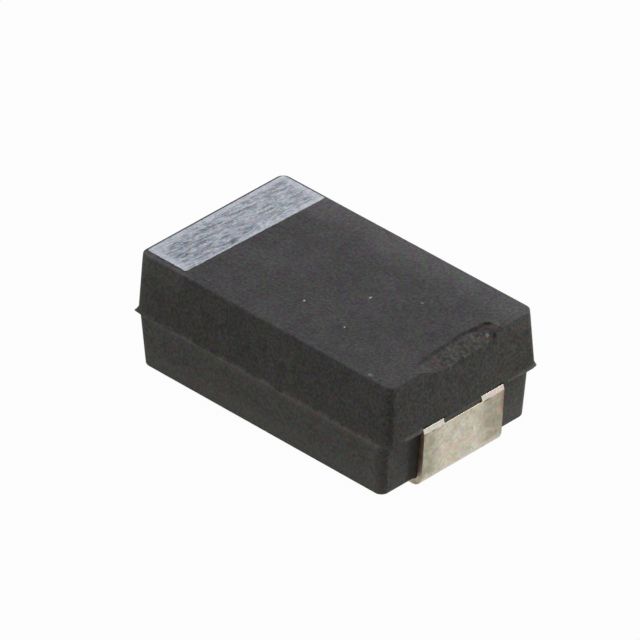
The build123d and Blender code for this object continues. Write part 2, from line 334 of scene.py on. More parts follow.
class CaseSkin:
    """The surface of the case, grown ring by ring from the top face down to the glue pad."""

    def __init__(self, blank):
        self.blank = blank
        self.columns, self.rows, self.out = blank.rim()
        self.base_x, self.base_y = blank.place(self.columns, self.rows, UPPER, CORNER)
        self.base = list(zip(self.base_x, self.base_y))
        self.sway = np.array([WALL_SWAY * drift((x, y, 0), 0.25, 2) for x, y in self.base])
        self.points, self.faces, self.torn, self.lip_shade = [], [], [], []
        self.add_lid()
        self.add_upper_half()
        self.add_lower_half()

    def add_lid(self):
        """The top face with the broken gate, over the whole grid."""
        size = [UPPER[k] - 2 * lean(TOP - PARTING, UPPER_DRAFT[k]) - 2 * TOP_EDGE for k in (0, 1)]
        nx, ny = self.blank.shape
        grid_i, grid_j = np.meshgrid(range(nx), range(ny), indexing="ij")
        lid_x, lid_y = self.blank.place(grid_i, grid_j, size, CORNER - TOP_EDGE)
        for x, y in zip(lid_x.ravel(), lid_y.ravel()):
            inside = inside_gate(x, y)
            wave = LID_WAVE * drift((x, y, 0), 0.9, 1)
            lip_shade = max(0.0, 1 - abs(inside - LIP_PLACE) / LIP_WIDTH)
            self.points.append((x, y, TOP - gate_depth(x, y) - LID_WAVE + wave))
            self.torn.append(min(1.0, max(0.0, inside / TORN_FADE)))
            self.lip_shade.append(lip_shade * (1.0 + 0.7 * drift((x, y, 0), 0.16, 9)))
        for i in range(nx - 1):
            for j in range(ny - 1):
                corner = i * ny + j
                self.faces.append((corner, corner + ny, corner + ny + 1, corner + 1))
        self.ring = [i * ny + j for i, j in zip(self.columns, self.rows)]
        self.lid_edge = np.array([self.points[k] for k in self.ring])
        self.rim_torn = np.array([self.torn[k] for k in self.ring])

    def add_ring(self, x, y, z, torn_share=0.0):
        """One more ring of points, joined to the last one."""
        first, count = len(self.points), len(self.ring)
        self.points.extend(zip(x, y, np.broadcast_to(z, count)))
        self.torn.extend(self.rim_torn * torn_share)
        self.lip_shade.extend([0.0] * count)
        for k in range(count):
            n = (k + 1) % count
            self.faces.append((self.ring[k], self.ring[n], first + n, first + k))
        self.ring = list(range(first, first + count))

    def add_outline(self, size, corner, z):
        """One ring along a rounded rectangle of the lower half."""
        x, y = self.blank.place(self.columns, self.rows, size, corner, -MISMATCH)
        self.add_ring(x, y, z)

    def add_wall(self, size, draft, shift, z, proud):
        """One ring of a drafted wall, at one height or a height for each column."""
        rise = np.abs(z - PARTING)
        narrower = [size[k] - 2 * lean(1, draft[k]) for k in (0, 1)]
        x0, y0 = self.blank.place(self.columns, self.rows, size, CORNER, shift)
        x1, y1 = self.blank.place(self.columns, self.rows, narrower, CORNER, shift)
        x = x0 + (x1 - x0) * rise + self.out[:, 0] * proud
        y = y0 + (y1 - y0) * rise + self.out[:, 1] * proud
        self.add_ring(x, y, z)

    def add_upper_half(self):
        """Rounded top edge, then the upper wall down to its rim, which flares into the ridge of flash."""
        for sine, cosine, step in edge_turns():
            reach, drop = TOP_EDGE * sine, TOP_EDGE * (1 - cosine)
            x = self.lid_edge[:, 0] + self.out[:, 0] * reach
            y = self.lid_edge[:, 1] + self.out[:, 1] * reach
            self.add_ring(x, y, self.lid_edge[:, 2] - drop, 1 - step / (EDGE_STEPS + 1))
        flare = np.array([flash_reach(x, y) for x, y in self.base])
        rise = np.interp(np.abs(self.base_y), EAVES_Y, EAVES_RISE)
        eaves = np.where(np.abs(self.base_x) > END_FACE, rise, 0.0)
        start = self.lid_edge[:, 2] - TOP_EDGE
        for part in np.linspace(0.12, 1, WALL_RINGS):
            z = start + (PARTING + RIM_HEIGHT - start) * part
            self.add_wall(UPPER, UPPER_DRAFT, 0, z, self.sway * (1 - part))
        for height, share in ((LEDGE, 0.5), (LEDGE / 4, 0.7)):
            self.add_wall(UPPER, UPPER_DRAFT, 0, PARTING + height + eaves, flare * share)

    def add_lower_half(self):
        """Skirt of flash beside the terminal, lower wall, rounded bottom edge and glue pad."""
        skirt = np.where(self.base_x > END_FACE, np.interp(self.base_y, SKIRT_Y, SKIRT_SHARE), 0.0)
        for drop, proud in SKIRT_PROUD:
            self.add_wall(LOWER, LOWER_DRAFT, -MISMATCH, PARTING - drop, skirt * proud)
        for part in np.linspace(0, 1, WALL_RINGS):
            z = PARTING - SKIRT_DROP + (UNDERSIDE + BOTTOM_EDGE - PARTING + SKIRT_DROP) * part
            self.add_wall(LOWER, LOWER_DRAFT, -MISMATCH, z, self.sway * part)
        foot_size = [LOWER[k] - 2 * lean(PARTING - UNDERSIDE, LOWER_DRAFT[k]) for k in (0, 1)]
        for sine, cosine, _ in edge_turns():
            inset = BOTTOM_EDGE * (1 - cosine)
            z = UNDERSIDE + BOTTOM_EDGE * (1 - sine)
            self.add_outline([s - 2 * inset for s in foot_size], CORNER - inset, z)
        for inset, z in ((-PAD_FILLET, UNDERSIDE), (0.0, UNDERSIDE - PAD_FILLET),
                         (0.0, UNDERSIDE - PAD_DROP + PAD_EDGE), (PAD_EDGE, UNDERSIDE - PAD_DROP)):
            self.add_outline([s - 2 * inset for s in PAD], PAD_CORNER - inset, z)
        self.faces.append(tuple(reversed(self.ring)))


def moulded_case(finish):
    """The epoxy body: two drafted halves, gate mark and glue pad in one skin."""
    # The grid is finer towards the cathode end and in the middle of the width, where the gate broke off
    core_x = np.concatenate([np.linspace(-1, 0.875, 62), np.linspace(0.895, 1.0, 20)])
    core_y = np.concatenate([np.linspace(-1, -0.60, 8, endpoint=False), np.linspace(-0.60, 0.60, 124),
                             np.linspace(0.60, 1, 9)[1:]])
    skin = CaseSkin(Blank(core_x, core_y, 10))
    case = make_piece("case_moulding", skin.points, skin.faces, [finish], "moulded_case")
    mark_points(case, "torn", skin.torn)
    # The lip mark carries painted shade along the step at the gate's edge
    mark_points(case, "lip_shade", skin.lip_shade)
    return flatten_faces(case)


def slot_film(finish):
    """Thin film of epoxy that ran into the slot between the ears and set nearly flush with the rim."""
    section = [(FILM_BACK, FILM_FACE[0][1]), *FILM_FACE, (FILM_BACK, FILM_FACE[-1][1])]
    stations = np.linspace(-SLOT_WIDTH / 2 - SLOT_BURR + FILM_GAP, SLOT_WIDTH / 2 - FILM_GAP, 36)
    points = []
    for y in stations:
        for x, z in section:
            rough = 0.006 * drift((x, y, z), 0.12, 31) if x > FILM_BACK else 0
            points.append((x + rough, y, z))
    count, last = len(section), (len(stations) - 1) * len(section)
    faces = [tuple(range(count)), tuple(range(last, last + count))]
    for first in range(0, last, count):
        for k in range(count):
            n = (k + 1) % count
            faces.append((first + k, first + n, first + count + n, first + count + k))
    film = make_piece("slot_film", points, faces, [finish], "moulded_case")
    mark_points(film, "flash", [FILM_PALE] * len(points))
    return film


def flash_recipe():
    """Node tree that sweeps a thin diamond section along the parting line, ragged along its length."""
    tree = bpy.data.node_groups.new("flash_ridge", "GeometryNodeTree")
    kinds = {"Parting line": "Geometry", "Step": "Float", "Flatness": "Float", "Raggedness": "Float",
             "Seed": "Float", "Height": "Float", "Finish": "Material"}
    for name, kind in kinds.items():
        tree.interface.new_socket(name, in_out="INPUT", socket_type="NodeSocket" + kind)
    tree.interface.new_socket("Ridge", in_out="OUTPUT", socket_type="NodeSocketGeometry")
    bench = Bench(tree)
    given = bench.node("NodeGroupInput").outputs
    line = bench.node("GeometryNodeMeshToCurve", {}, {"Mesh": given["Parting line"]})
    line = bench.node("GeometryNodeResampleCurve", {"mode": "LENGTH"}, {
        "Curve": line.outputs[0], "Length": given["Step"]})
    place = bench.node("GeometryNodeInputPosition").outputs[0]
    spread = bench.node("ShaderNodeTexNoise", {"noise_dimensions": "4D"}, {
        "Vector": place, "W": given["Seed"], "Scale": 9 / MM, "Detail": 3.0, "Roughness": 0.6})
    gaps = Value(bench, spread.outputs[0]).ramp(0.30, 0.70) * Value(bench, given["Raggedness"])
    reach = bench.node("GeometryNodeInputNamedAttribute", {"data_type": "FLOAT"}, {"Name": "reach"})
    diamond = bench.node("GeometryNodeCurvePrimitiveCircle", {"mode": "RADIUS"}, {
        "Resolution": 4, "Radius": 1.0})
    swept = bench.node("GeometryNodeCurveToMesh", {}, {
        "Curve": line.outputs[0], "Profile Curve": diamond.outputs[0],
        "Scale": Value(bench, reach.outputs[0]) * (1 - gaps)})
    height = Value(bench, bench.node("ShaderNodeSeparateXYZ", {}, {0: place}).outputs[2])
    rise = height - Value(bench, given["Height"])
    squeeze = bench.node("ShaderNodeCombineXYZ", {}, {2: rise * (Value(bench, given["Flatness"]) - 1)})
    pressed = bench.node("GeometryNodeSetPosition", {}, {
        "Geometry": swept.outputs[0], "Offset": squeeze.outputs[0]})
    faceted = bench.node("GeometryNodeSetShadeSmooth", {}, {
        "Geometry": pressed.outputs[0], "Shade Smooth": False})
    noted = bench.node("GeometryNodeStoreNamedAttribute", {"data_type": "FLOAT", "domain": "POINT"}, {
        "Geometry": faceted.outputs[0], "Name": "flash", "Value": 1.0})
    real = bench.node("GeometryNodeRealizeInstances", {}, {"Geometry": noted.outputs[0]})
    finished = bench.node("GeometryNodeSetMaterial", {}, {
        "Geometry": real.outputs[0], "Material": given["Finish"]})
    bench.node("NodeGroupOutput", {}, {0: finished.outputs[0]})
    return tree


def flash_ridge(finish):
    """The ragged ridge of flash round the case where the two mould halves met."""
    blank = Blank(np.linspace(-1, 1, 40), np.linspace(-1, 1, 60), 10)
    columns, rows, _ = blank.rim()
    x, y = blank.place(columns, rows, [s - RIDGE_SINK for s in UPPER], CORNER)
    count = len(x)
    line = bpy.data.meshes.new("parting_line")
    line.from_pydata([(a * MM, b * MM, PARTING * MM) for a, b in zip(x, y)],
                     [(k, (k + 1) % count) for k in range(count)], [])
    carrier = new_object("parting_line", line)
    mark_points(carrier, "reach", [flash_reach(a, b) * MM for a, b in zip(x, y)])
    recipe = flash_recipe()
    sizes = {"Step": 0.03 * MM, "Flatness": 0.9, "Raggedness": 0.45, "Seed": 3.0,
             "Height": PARTING * MM, "Finish": finish}
    sweep = carrier.modifiers.new("flash", "NODES")
    sweep.node_group = recipe
    for item in recipe.interface.items_tree:
        if item.in_out == "INPUT" and item.name in sizes:
            sweep[item.identifier] = sizes[item.name]
    shaped = carrier.evaluated_get(bpy.context.evaluated_depsgraph_get())
    mesh = bpy.data.meshes.new_from_object(shaped)
    carrier.modifiers.remove(sweep)
    bpy.data.objects.remove(carrier)
    return put_on_part("flash_ridge", mesh, "moulded_case")


def fold_path(corners, bends):
    """Points along straight runs and arcs, each with its share of the exit turn counted from the case."""
    corners = [Vector(c) for c in corners]
    path, turned = [corners[0]], [None]
    for number, (before, corner, after, bend) in enumerate(zip(corners, corners[1:], corners[2:], bends)):
        into, away = (corner - before).normalized(), (after - corner).normalized()
        turn = into.angle(away)
        back = bend * math.tan(turn / 2)
        side = 1 if into.x * away.y - into.y * away.x > 0 else -1
        centre = corner - into * back + Vector((-into.y, into.x)) * side * bend
        arm = (corner - into * back) - centre
        steps = max(4, round(math.degrees(turn) / FOLD_STEP))
        for k in range(steps + 1):
            angle = side * turn * k / steps
            cosine, sine = math.cos(angle), math.sin(angle)
            path.append(centre + Vector((arm.x * cosine - arm.y * sine, arm.x * sine + arm.y * cosine)))
            turned.append(1 - k / steps if number == 1 else None)
    return path + [corners[-1]], turned + [None]


def with_points(path, turned, test):
    """Adds a point wherever a function of the place changes sign between two points of the path."""
    made, shares = [path[0]], [turned[0]]
    for here, there, turn_here, turn_there in zip(path, path[1:], turned, turned[1:]):
        value_here, value_there = test(here), test(there)
        if value_here * value_there < 0:
            share = value_here / (value_here - value_there)
            on_turn = turn_here is not None and turn_there is not None
            made.append(here + (there - here) * share)
            shares.append(turn_here + (turn_there - turn_here) * share if on_turn else None)
        made.append(there)
        shares.append(turn_there)
    return made, shares


def strip_path(inner_run, bends, tab):
    """Centre line of a terminal's strip, with a point at each end of the slot and where its tab begins."""
    path, turned = fold_path([FOOT_TIP, RISER_FOOT, RISER_TOP, *inner_run], [FOOT_BEND, EXIT_BEND, *bends])
    path, turned = with_points(path, turned, lambda p: p.y - SLOT_OUTER_END if p.x > RISER_FROM else 1)
    path, turned = with_points(path, turned, lambda p: p.x - SLOT_INNER_END if p.y > EXIT_LEVEL else 1)
    if tab:
        path, turned = with_points(path, turned, lambda p: p.x - tab[0] if p.y > EXIT_LEVEL else 1)
    dense, shares = [], []
    for here, there, turn_here in zip(path, path[1:], turned):
        pieces = max(1, math.ceil((there - here).length / LONGEST_FACE))
        dense += [here + (there - here) * k / pieces for k in range(pieces)]
        shares += [turn_here] + [None] * (pieces - 1)
    return dense + [path[-1]], shares + [turned[-1]]


def strip_points(path, turned, across, side, tab):
    """Points across the strip's two rolled faces, for each point of its centre line."""
    points = []
    for k, place in enumerate(path):
        before, after = path[max(k - 1, 0)], path[min(k + 1, len(path) - 1)]
        run = (after - before).normalized()
        normal = Vector((-run.y, run.x))
        on_tab = tab and place.y > EXIT_LEVEL and place.x < tab[0] - NEARLY
        half = tab[1] / 2 if on_tab else LEAD_WIDTH / 2
        for face in (1, -1):
            spot = place + normal * face * SHEET / 2
            if turned[k] is not None and face == -1:
                spot = Vector((np.interp(turned[k], EAR_TURN, EAR_X), np.interp(turned[k], EAR_TURN, EAR_Z)))
            points += [(side * spot.x, share * half, spot.y) for share in across]
    return points


def strip_faces(path, across, slot):
    """Faces of the strip with its slot left open, and for each 0 if it is rolled or 1 if it is cut."""
    count = len(across)
    first, last = across.index(slot[0]), across.index(slot[1])
    solid = {}
    for k in range(len(path) - 1):
        middle = (path[k] + path[k + 1]) / 2
        slotted = middle.x > SLOT_INNER_END and middle.y > SLOT_OUTER_END
        for c in range(count - 1):
            solid[k, c] = not (slotted and first <= c < last)

    def at(k, face, c):
        """Number of a point by its place along the strip, its rolled face and its place across."""
        return (k * 2 + face) * count + c

    faces, kinds = [], []
    for (k, c), kept in solid.items():
        if not kept:
            continue
        faces += [(at(k, 0, c), at(k, 0, c + 1), at(k + 1, 0, c + 1), at(k + 1, 0, c)),
                  (at(k, 1, c), at(k + 1, 1, c), at(k + 1, 1, c + 1), at(k, 1, c + 1))]
        kinds += [0, 0]
        sides = ((0, -1, (k, c), (k + 1, c)), (0, 1, (k, c + 1), (k + 1, c + 1)),
                 (-1, 0, (k, c), (k, c + 1)), (1, 0, (k + 1, c), (k + 1, c + 1)))
        for dk, dc, (k0, c0), (k1, c1) in sides:
            if not solid.get((k + dk, c + dc), False):
                faces.append((at(k0, 0, c0), at(k1, 0, c1), at(k1, 1, c1), at(k0, 1, c0)))
                kinds.append(1)
    return faces, kinds


def lead_frame_terminal(name, side, inner_run, bends, tab, finishes, stands_for):
    """A folded terminal: foot, riser, the two ears either side of the punched slot, and its inner run."""
    slot_far = SLOT_WIDTH / LEAD_WIDTH
    slot_near = -slot_far - 2 * SLOT_BURR / LEAD_WIDTH
    across = [-1, -0.86, -0.72, -0.58, slot_near, -0.3, -0.1, 0.1, 0.3, slot_far, 0.58, 0.72, 0.86, 1]
    path, turned = strip_path(inner_run, bends, tab)
    points = strip_points(path, turned, across, side, tab)
    faces, kinds = strip_faces(path, across, (slot_near, slot_far))
    used = sorted({point for face in faces for point in face})
    renumbered = {old: new for new, old in enumerate(used)}
    points = [points[old] for old in used]
    faces = [tuple(renumbered[old] for old in face) for face in faces]
    piece = make_piece(name, points, faces, finishes, stands_for, kinds, sharp=14)
    burr = piece.modifiers.new("rounded cut edges", "BEVEL")
    burr.width, burr.segments = CUT_EDGE * MM, 2
    burr.limit_method, burr.angle_limit = "ANGLE", math.radians(50)
    return flatten_faces(piece)


def marked_band(finish):
    """The pale mark over the anode end, with a slightly ragged and skewed outline."""
    core_x, core_y = BAND_LENGTH / 2 - BAND_CORNER, BAND_WIDTH / 2 - BAND_CORNER
    outline = []
    corners = ((core_x, -core_y, -90), (core_x, core_y, 0), (-core_x, core_y, 90), (-core_x, -core_y, 180))
    for x, y, start in corners:
        for angle in range(start, start + 91, 10):
            turn = math.radians(angle)
            outline.append((x + BAND_CORNER * math.cos(turn), y + BAND_CORNER * math.sin(turn)))
    fine = []
    for (x0, y0), (x1, y1) in zip(outline, outline[1:] + outline[:1]):
        steps = max(1, round(math.hypot(x1 - x0, y1 - y0) / BAND_PIECE))
        for k in range(steps):
            x, y = x0 + (x1 - x0) * k / steps, y0 + (y1 - y0) * k / steps
            rag = ragged(x, y, BAND_RAG)
            inner = BAND_SKEW * y - BAND_TRIM if x > 0 else 0.0
            fine.append((BAND_CENTRE[0] + x + rag * (1 if x > 0 else 0.3) + inner, BAND_CENTRE[1] + y + rag))
    count = len(fine)
    points = [(x, y, z) for z in (TOP + BAND_PROUD, TOP - BAND_DEPTH) for x, y in fine]
    faces = [tuple(range(count)), tuple(range(2 * count - 1, count - 1, -1))]
    faces += [(k, count + k, count + (k + 1) % count, (k + 1) % count) for k in range(count)]
    return make_piece("polarity_mark", points, faces, [finish], "polarity_band")


# Node trees

class Value:
    """A number that varies from place to place. Arithmetic on it adds the nodes that work it out."""

    def __init__(self, bench, socket):
        self.bench, self.socket = bench, socket

    def calc(self, operation, *values):
        """The result of one Math node."""
        made = self.bench.node("ShaderNodeMath", {"operation": operation}, dict(enumerate(values)))
        return Value(self.bench, made.outputs[0])

    def __add__(self, other):
        return self.calc("ADD", self, other)

    def __sub__(self, other):
        return self.calc("SUBTRACT", self, other)

    def __rsub__(self, other):
        return self.calc("SUBTRACT", other, self)

    def __mul__(self, other):
        return self.calc("MULTIPLY", self, other)

    __radd__, __rmul__ = __add__, __mul__

    def __abs__(self):
        return self.calc("ABSOLUTE", self)

    def ramp(self, low, high, start=0.0, end=1.0):
        """Start below low, end above high, and a smooth change between."""
        made = self.bench.node("ShaderNodeMapRange", {"interpolation_type": "SMOOTHSTEP"}, {
            0: self, 1: low, 2: high, 3: start, 4: end})
        return Value(self.bench, made.outputs[0])

    def fall(self, low, high):
        """1 below low, 0 above high, and a smooth change between."""
        return self.ramp(low, high, 1.0, 0.0)


class Bench:
    """A node tree under construction."""

    def __init__(self, tree):
        self.tree = tree
        tree.nodes.clear()

    def node(self, kind, settings=None, values=None):
        """A node of this type with its settings made first, then its sockets linked or set."""
        made = self.tree.nodes.new(kind)
        for key, value in (settings or {}).items():
            setattr(made, key, value)
        for key, value in (values or {}).items():
            if isinstance(value, Value):
                value = value.socket
            if isinstance(value, bpy.types.NodeSocket):
                self.tree.links.new(value, made.inputs[key])
            else:
                made.inputs[key].default_value = value
        return made


class Finish(Bench):
    """A material under construction."""

    def __init__(self, name, **constants):
        self.material = bpy.data.materials.new(name)
        self.material.use_nodes = True
        super().__init__(self.material.node_tree)
        given = {key.replace("_", " "): value for key, value in constants.items()}
        self.shader = self.node("ShaderNodeBsdfPrincipled", {}, given)
        self.node("ShaderNodeOutputMaterial", {}, {0: self.shader.outputs[0]})
        self.place = self.node("ShaderNodeTexCoord").outputs["Object"]

    def spread(self, stretch=(1, 1, 1), offset=(0, 0, 0), turn=0.0):
        """Object coordinates in millimetres, turned about the upright axis, stretched and moved."""
        flat = self.node("ShaderNodeMapping", {}, {
            "Vector": self.place, "Scale": (1 / MM,) * 3, "Rotation": (0, 0, math.radians(turn))})
        moved = self.node("ShaderNodeMapping", {}, {
            "Vector": flat.outputs[0], "Scale": stretch, "Location": offset})
        return moved.outputs[0]

    def cloud(self, per_mm, detail=2.0, rough=0.5, stretch=(1, 1, 1), offset=(0, 0, 0), turn=0.0):
        """Random pattern from 0 to 1 with this many features per millimetre."""
        made = self.node("ShaderNodeTexNoise", {}, {
            "Vector": self.spread(stretch, offset, turn), "Scale": per_mm,
            "Detail": detail, "Roughness": rough})
        return Value(self, made.outputs[0])

    def axes(self):
        """The three coordinates in millimetres."""
        made = self.node("ShaderNodeSeparateXYZ", {}, {0: self.spread()})
        return [Value(self, socket) for socket in made.outputs]

    def painted(self, name):
        """A value that the mesh carries at its points."""
        return Value(self, self.node("ShaderNodeAttribute", {"attribute_name": name}).outputs["Fac"])

    def spot(self, x, y, radius, stretch=(1, 1)):
        """1 in the middle third of a small spot seen from above, fading to 0 at its radius."""
        flat = self.spread((stretch[0], stretch[1], 0), (-x * stretch[0], -y * stretch[1], 0))
        gap = self.node("ShaderNodeVectorMath", {"operation": "LENGTH"}, {0: flat})
        return Value(self, gap.outputs["Value"]).fall(radius * 0.35, radius)

    def blend(self, factor, first, second):
        """Mixes two colours by a value."""
        made = self.node("ShaderNodeMix", {"data_type": "RGBA", "clamp_factor": True}, {
            0: factor, 6: first, 7: second})
        return made.outputs[2]

    def layers(self, colour, *coats):
        """Lays shades over a colour one after another, each by its own value."""
        for factor, shade in coats:
            colour = self.blend(factor, colour, tone(*shade))
        return colour

    def speckle(self, colour, amount, per_mm):
        """Lets a colour's red, green and blue wander apart a little from grain to grain."""
        grain = self.node("ShaderNodeTexNoise", {}, {
            "Vector": self.spread(offset=(5, 9, 2)), "Scale": per_mm, "Detail": 1.0})
        gain = self.node("ShaderNodeVectorMath", {"operation": "MULTIPLY_ADD"}, {
            0: grain.outputs["Color"], 1: (2 * amount,) * 3, 2: (1 - amount,) * 3})
        tinted = self.node("ShaderNodeVectorMath", {"operation": "MULTIPLY"}, {0: colour, 1: gain.outputs[0]})
        return tinted.outputs[0]

    def relief(self, height, depth_mm, below=None):
        """Raises the surface by a value times a depth."""
        values = {"Height": height, "Distance": depth_mm * MM, "Strength": 1.0}
        if below is not None:
            values["Normal"] = below
        return self.node("ShaderNodeBump", {}, values).outputs[0]

    def wear(self, **sockets):
        """Links what varies over the surface to the shader."""
        for key, value in sockets.items():
            socket = value.socket if isinstance(value, Value) else value
            self.tree.links.new(socket, self.shader.inputs[key.replace("_", " ")])
        return self.material


# Finishes

def tone(red, green, blue):
    """A colour as a photograph shows it, 0 to 255, in the light's own scale."""
    shares = [c / 255 for c in (red, green, blue)]
    return tuple(s / 12.92 if s <= 0.04045 else ((s + 0.055) / 1.055) ** 2.4 for s in shares) + (1.0,)


# Chips and pits in the broken gate: place, radius, strength and shade; the dark spots are painted shade in
# pits and hollows
GATE_SPOTS = [
    (3.380, -0.72, 0.28, 0.40, (44, 40, 40)),
    (3.482, 1.13, 0.12, 0.70, (104, 90, 88)),
    (3.588, 0.976, 0.06, 0.80, (24, 22, 20)),
    (3.600, 0.03, 0.035, 0.70, (30, 28, 24)),
    (3.605, -0.33, 0.05, 0.40, (104, 104, 106)),
    (3.478, 0.885, 0.055, 1.00, (128, 127, 122)),
    (3.415, -0.62, 0.09, 0.45, (96, 52, 54)),
    (3.495, -0.48, 0.07, 0.55, (34, 34, 32)),
    (3.590, -0.80, 0.07, 0.60, (44, 26, 26)),
    (3.530, 0.09, 0.05, 0.50, (44, 32, 30)),
]

# Dust on the top face: place, radius, strength and stretch
DUST = [
    (0.072, -0.995, 0.030, 1.0, (1, 1)),
    (1.859, 0.642, 0.034, 0.25, (0.7, 1)),
    (1.343, -1.108, 0.024, 0.9, (1, 1)),
    (0.962, 0.040, 0.030, 0.6, (1, 0.5)),
    (2.950, -1.980, 0.060, 0.15, (0.6, 1)),
]


def matt_epoxy():
    """Charcoal moulding compound: fine filler grain, faint flow clouds, painted sheen and floor light,
    painted shade beside the terminal and along the gate's lip, dust and the torn gate mark.
    """
    look = Finish("matt_epoxy", Specular_IOR_Level=0.15)
    x, y, z = look.axes()
    torn, lip_shade, flash = look.painted("torn"), look.painted("lip_shade"), look.painted("flash")
    flow = look.cloud(0.55, 3, 0.55)
    patch = look.cloud(2.3, 4, 0.6)
    grain = look.cloud(15, 2, 0.6)
    fine = look.cloud(70, 1, 0.5)
    coarse = grain.ramp(0.30, 0.70)
    above = z.ramp(2.35, 2.60)
    walls = z.fall(2.74, 2.82)

    # Painted sheen: the far side of the top face and two patches on it are lighter, standing in for a glossy
    # reflection
    sheen_patches = look.spot(0.16, 1.65, 0.75, (0.7, 1)) * 0.14 + look.spot(-1.97, 1.83, 0.70, (0.8, 1)) * 0.16
    painted_sheen = (y.ramp(1.0, 2.25) * 0.42 + sheen_patches) * above

    # Painted light: the lower half is paler as if lit by the white floor, most of all near the ground and at
    # its bottom edge, and the anode end is paler by a painted glow
    near_end = x.ramp(3.30, 3.45) * y.fall(-1.0, -0.5)
    bottom = z.fall(0.20, 0.85) * (1 - near_end * 0.65)
    lower = z.fall(PARTING - 0.02, PARTING) * (0.38 - near_end * 0.16) + bottom * 0.85
    lower = lower + z.fall(UNDERSIDE + 0.01, UNDERSIDE + 0.12) * 0.40 + x.fall(-3.65, -3.05) * 0.30

    # Pale flash with a painted highlight along the parting line, and a paler edge beside the band
    near_side = y.ramp(-1.80, -1.62) * y.fall(-1.22, -1.17)
    far_side = y.ramp(1.22, 1.50)
    at_parting = abs(z - PARTING + 0.01).fall(0.04, 0.11) * x.ramp(3.40, 3.50)
    flash_and_highlight = at_parting * (near_side * 1.35 + far_side * 0.7)
    near_flash_highlight = abs(z - PARTING + 0.02).fall(0.01, 0.13) * y.fall(-2.12, -2.08)
    beside_band = above * x.fall(-2.45, -2.25) * y.fall(-2.02, -1.96)

    level = flow.ramp(0.25, 0.75) * 0.18 + patch.ramp(0.3, 0.7) * 0.14 + coarse * 0.36
    level = level + painted_sheen + lower + flash * 0.55 + flash_and_highlight * 0.80 + (coarse - 0.5) * walls * 0.13
    level = level + near_flash_highlight * patch.ramp(0.25, 0.60) * 0.50 + beside_band * 0.30
    # Painted light: the walls take a warmer copy of the colour than the top, standing in for warmer light
    # from the side
    cool = look.blend(level, tone(50, 50, 50), tone(94, 92, 94))
    painted_warm_light = look.blend(level, tone(51, 50, 48), tone(96, 94, 90))

    # Painted shadow under the rim beside the terminal, the torn surface of the gate, painted shade along its
    # lip and reddish flecks on it
    beside = y.ramp(-1.58, -1.36) * y.fall(-1.18, -1.16)
    stain_and_shade = x.ramp(3.40, 3.50) * beside * z.fall(1.30, 1.38)
    chips = look.cloud(9, 4, 0.7, offset=(3, 1, 2))
    colour = look.layers(
        look.blend(walls, cool, painted_warm_light),
        (stain_and_shade * 0.45, (32, 28, 26)),
        (torn * chips.ramp(0.50, 0.80) * 0.35, (84, 80, 78)),
        (lip_shade * (0.45 + chips * 0.75), (26, 23, 22)),
        (lip_shade * chips.ramp(0.56, 0.68) * 0.45, (78, 44, 42)),
    )
    for spot_x, spot_y, radius, strength, shade in GATE_SPOTS:
        colour = look.layers(colour, (look.spot(spot_x, spot_y, radius) * above * strength, shade))

    dust = 0
    for dust_x, dust_y, radius, strength, stretch in DUST:
        dust = look.spot(dust_x, dust_y, radius, stretch) * strength + dust
    colour = look.speckle(look.layers(colour, (dust * above, (214, 214, 218))), 0.75, 15)
    rough = 0.66 + flow * 0.10 + torn * 0.10 - patch * 0.05
    skin = look.relief(grain * 0.6 + fine * 0.4, 0.003)
    return look.wear(Base_Color=colour, Roughness=rough, Normal=look.relief(torn * chips, 0.015, skin))


def burnt_mark():
    """Pale blue-grey mark in close strokes along its width, with dark broken lines between them."""
    look = Finish("burnt_mark", Specular_IOR_Level=0.3)
    x, y = look.axes()[:2]
    across, along = abs(x - BAND_CENTRE[0]), abs(y - BAND_CENTRE[1])
    inside = across.fall(BAND_LENGTH / 2 - 0.17, BAND_LENGTH / 2 - 0.08)
    inside = inside * along.fall(BAND_WIDTH / 2 - 0.20, BAND_WIDTH / 2 - 0.08)
    strokes = look.cloud(1.0, 4, 0.65, stretch=(14, 1.9, 1), turn=5).ramp(0.53, 0.60)
    scratches = look.cloud(1.0, 3, 0.7, stretch=(24, 5, 1), offset=(4, 2, 0), turn=5).ramp(0.54, 0.62)
    mottle = look.cloud(11, 4, 0.75, stretch=(1, 0.5, 1), turn=5)
    grain = look.cloud(24, 2, 0.7)
    wide = look.cloud(0.9, 2, 0.5, offset=(2, 2, 2))
    colour = look.layers(
        tone(132, 140, 152),
        (mottle.ramp(0.34, 0.66), (204, 209, 219)),
        (wide.ramp(0.35, 0.65) * 0.25, (180, 178, 194)),
        ((strokes * 0.66 + scratches * 0.54) * inside, (82, 86, 96)),
        (inside * 0.06, (110, 118, 132)),
        ((1 - inside) * 0.40, (210, 213, 222)),
        # Painted sheen: the band grows lighter towards the far side, like the top face
        (y.ramp(-1.5, 1.9) * 0.16, (206, 208, 216)),
        (grain.ramp(0.56, 0.72) * 0.45, (112, 118, 132)),
        (grain.fall(0.28, 0.44) * 0.50, (210, 216, 224)),
    )
    colour = look.speckle(colour, 0.40, 18)
    rough = 0.62 + mottle * 0.15
    relief = look.relief(mottle * 0.5 + grain * 0.3 - strokes * 0.5, 0.005)
    return look.wear(Base_Color=colour, Roughness=rough, Normal=relief)


